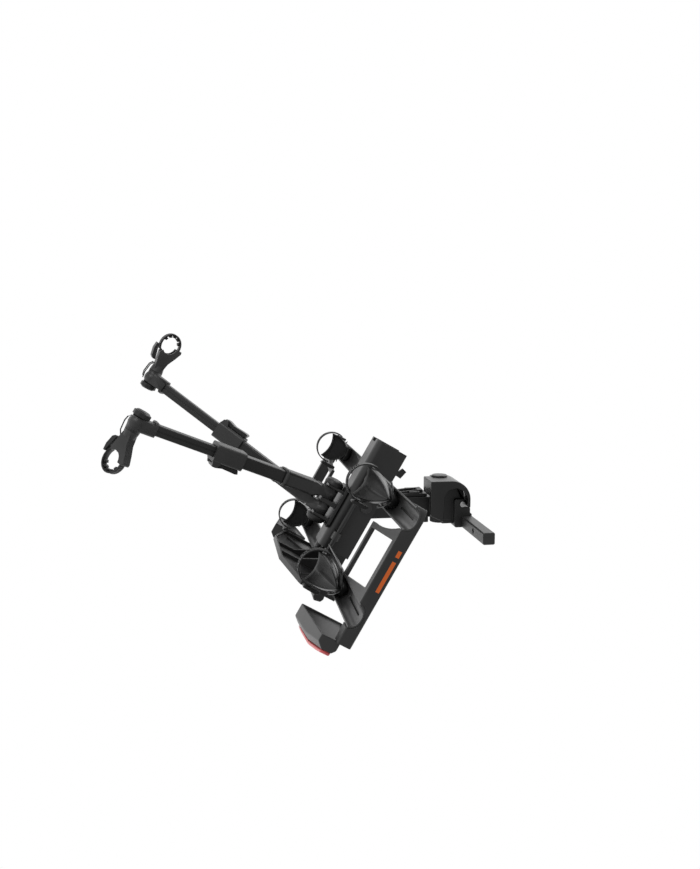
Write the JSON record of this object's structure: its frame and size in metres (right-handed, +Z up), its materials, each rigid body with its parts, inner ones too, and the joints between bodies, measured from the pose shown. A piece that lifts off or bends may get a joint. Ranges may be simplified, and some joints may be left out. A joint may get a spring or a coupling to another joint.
{
  "type": "hitch bike carrier",
  "caption": "Swing-away, tilting hitch carrier with folding wheel channels, strap-down wheel scoops, telescopic support arms with frame clamps, rear lamps and a foot-pedal tilt release.",
  "frame": {"origin": "centre of the end face of the square shank that goes into the vehicle receiver", "axes": "+Z up, -Y into the receiver towards the vehicle, +Y away from the vehicle"},
  "size_m": [0.9919, 1.246, 0.7584],
  "materials": {
    "steel_coat": "satin",
    "frame_coat": "powder coat",
    "anodised": "satin anodised",
    "cast_metal": "coated casting",
    "zinc": "zinc plated",
    "pin_black": "gloss black",
    "moulded_plastic": "fine grain",
    "strap_rubber": "matt",
    "lens_red": "clear gloss"
  },
  "bodies": {
    "hitch": {"shank": "steel_coat", "hitch_block": "cast_metal", "wedge_bolt": "zinc", "hitch_cover": "moulded_plastic", "swing_pin": "pin_black"},
    "swing": {"swing_arm": "cast_metal", "swing_top_plate": "moulded_plastic", "tilt_axle": "steel_coat"},
    "tilt": {"main_beam": "anodised", "hub_base": "cast_metal", "hub_axle": "moulded_plastic", "hub_dome_rear": "moulded_plastic", "latch_pin": "steel_coat", "plate_panel": "moulded_plastic", "wing_hinge_far": "cast_metal", "wing_hinge_near": "cast_metal"},
    "pedal": {"foot_pedal": "moulded_plastic"},
    "latch": {"beam_latch": "steel_coat"},
    "wing_far": {"side_frame_far": "frame_coat", "channel_front_far": "anodised", "channel_rear_far": "anodised", "scoop_front_far": "moulded_plastic", "scoop_rear_far": "moulded_plastic", "wheel_strap_front_far": "strap_rubber", "wheel_strap_rear_far": "strap_rubber", "lamp_housing_far": "moulded_plastic", "lamp_lens_far": "lens_red"},
    "buckle_front_far": {"wheel_buckle_front_far": "moulded_plastic"},
    "buckle_rear_far": {"wheel_buckle_rear_far": "moulded_plastic"},
    "arm_far": {"arm_sleeve_far": "cast_metal", "arm_mid_tube_far": "anodised", "clamp_box_far": "moulded_plastic"},
    "lever_far": {"clamp_lever_far": "moulded_plastic"},
    "slide_far": {"arm_upper_tube_far": "anodised", "elbow_far": "cast_metal"},
    "head_far": {"jaw_far": "moulded_plastic", "frame_strap_far": "strap_rubber"},
    "knob_far": {"knob_far": "moulded_plastic"},
    "ratchet_far": {"ratchet_far": "moulded_plastic"},
    "wing_near": {"side_frame_near": "frame_coat", "channel_front_near": "anodised", "channel_rear_near": "anodised", "scoop_front_near": "moulded_plastic", "scoop_rear_near": "moulded_plastic", "wheel_strap_front_near": "strap_rubber", "wheel_strap_rear_near": "strap_rubber", "lamp_housing_near": "moulded_plastic", "lamp_lens_near": "lens_red"},
    "buckle_front_near": {"wheel_buckle_front_near": "moulded_plastic"},
    "buckle_rear_near": {"wheel_buckle_rear_near": "moulded_plastic"},
    "arm_near": {"arm_sleeve_near": "cast_metal", "arm_mid_tube_near": "anodised", "clamp_box_near": "moulded_plastic"},
    "lever_near": {"clamp_lever_near": "moulded_plastic"},
    "slide_near": {"arm_upper_tube_near": "anodised", "elbow_near": "cast_metal"},
    "head_near": {"jaw_near": "moulded_plastic", "frame_strap_near": "strap_rubber"},
    "knob_near": {"knob_near": "moulded_plastic"},
    "ratchet_near": {"ratchet_near": "moulded_plastic"}
  },
  "joints": [
    {"name": "swing_away", "type": "hinge", "parent": "hitch", "child": "swing", "pos_m": [-0.066, 0.262, 0.035], "axis": [0, 0, 1], "range_deg": [-90, 0]},
    {"name": "tilt", "type": "hinge", "parent": "swing", "child": "tilt", "pos_m": [-0.275, 0.327, 0.035], "axis": [0, 1, 0], "range_deg": [0, 60]},
    {"name": "pedal_press", "type": "hinge", "parent": "tilt", "child": "pedal", "pos_m": [-0.36488, 0.327, -0.14867], "axis": [0, -1, 0], "range_deg": [0, 12], "stiffness_Nm_per_rad": 2, "springref_deg": -11.46},
    {"name": "latch_turn", "type": "hinge", "parent": "tilt", "child": "latch", "pos_m": [-0.24937, 0.327, 0.16339], "axis": [0, -1, 0], "range_deg": [0, 12]},
    {"name": "wing_fold_far", "type": "hinge", "parent": "tilt", "child": "wing_far", "pos_m": [-0.30618, 0.395, 0.053], "axis": [0.5, 0, 0.866], "range_deg": [0, 60]},
    {"name": "buckle_turn_front_far", "type": "hinge", "parent": "wing_far", "child": "buckle_front_far", "pos_m": [-0.31961, 0.641, 0.08974], "axis": [0, -1, 0], "range_deg": [0, 60]},
    {"name": "buckle_turn_rear_far", "type": "hinge", "parent": "wing_far", "child": "buckle_rear_far", "pos_m": [-0.44291, 0.641, -0.12383], "axis": [0, -1, 0], "range_deg": [0, 60]},
    {"name": "wing_fold_near", "type": "hinge", "parent": "tilt", "child": "wing_near", "pos_m": [-0.30618, 0.259, 0.053], "axis": [-0.5, 0, -0.866], "range_deg": [0, 60]},
    {"name": "buckle_turn_front_near", "type": "hinge", "parent": "wing_near", "child": "buckle_front_near", "pos_m": [-0.31961, 0.013, 0.08974], "axis": [0, -1, 0], "range_deg": [0, 60]},
    {"name": "buckle_turn_rear_near", "type": "hinge", "parent": "wing_near", "child": "buckle_rear_near", "pos_m": [-0.44291, 0.013, -0.12383], "axis": [0, -1, 0], "range_deg": [0, 60]},
    {"name": "arm_pivot_near", "type": "hinge", "parent": "tilt", "child": "arm_near", "pos_m": [-0.37197, 0.327, 0.06905], "axis": [-0.5, 0, -0.866], "range_deg": [-40, 0]},
    {"name": "lever_turn_near", "type": "hinge", "parent": "arm_near", "child": "lever_near", "pos_m": [-0.69814, 0.2027, 0.18341], "axis": [-0.2976, 0.9391, 0.1718], "range_deg": [0, 45]},
    {"name": "arm_slide_near", "type": "slide", "parent": "arm_near", "child": "slide_near", "axis": [-0.8552, -0.3422, 0.3891], "range_m": [-0.1, 0.05]},
    {"name": "head_turn_near", "type": "hinge", "parent": "slide_near", "child": "head_near", "pos_m": [-0.88426, 0.122, 0.30213], "axis": [-0.5322, -0.0138, -0.8465], "range_deg": [-60, 60]},
    {"name": "knob_turn_near", "type": "hinge", "parent": "slide_near", "child": "knob_near", "pos_m": [-0.8683, 0.12241, 0.32753], "axis": [-0.5322, -0.0138, -0.8465], "continuous": true},
    {"name": "ratchet_turn_near", "type": "hinge", "parent": "head_near", "child": "ratchet_near", "pos_m": [-0.93612, 0.13659, 0.26125], "axis": [0.4785, 0.8199, -0.3142], "range_deg": [0, 40]},
    {"name": "arm_pivot_far", "type": "hinge", "parent": "tilt", "child": "arm_far", "pos_m": [-0.39547, 0.327, 0.02834], "axis": [0.5, 0, 0.866], "range_deg": [-40, 0]},
    {"name": "lever_turn_far", "type": "hinge", "parent": "arm_far", "child": "lever_far", "pos_m": [-0.65306, 0.44535, 0.26192], "axis": [-0.2848, -0.9444, 0.1644], "range_deg": [0, 45]},
    {"name": "arm_slide_far", "type": "slide", "parent": "arm_far", "child": "slide_far", "axis": [-0.7539, 0.3266, 0.57], "range_m": [-0.1, 0.05]},
    {"name": "head_turn_far", "type": "hinge", "parent": "slide_far", "child": "head_far", "pos_m": [-0.87007, 0.53261, 0.38716], "axis": [0.4885, 0.0046, 0.8725], "range_deg": [-60, 60]},
    {"name": "knob_turn_far", "type": "hinge", "parent": "slide_far", "child": "knob_far", "pos_m": [-0.88472, 0.53247, 0.36098], "axis": [0.4885, 0.0046, 0.8725], "continuous": true},
    {"name": "ratchet_turn_far", "type": "hinge", "parent": "head_far", "child": "ratchet_far", "pos_m": [-0.86243, 0.52554, 0.45398], "axis": [0.2398, -0.9622, -0.1292], "range_deg": [0, 40]}
  ],
  "couplings": [
    {"joint": "latch_turn", "follows": "pedal_press", "ratio": 1}
  ]
}
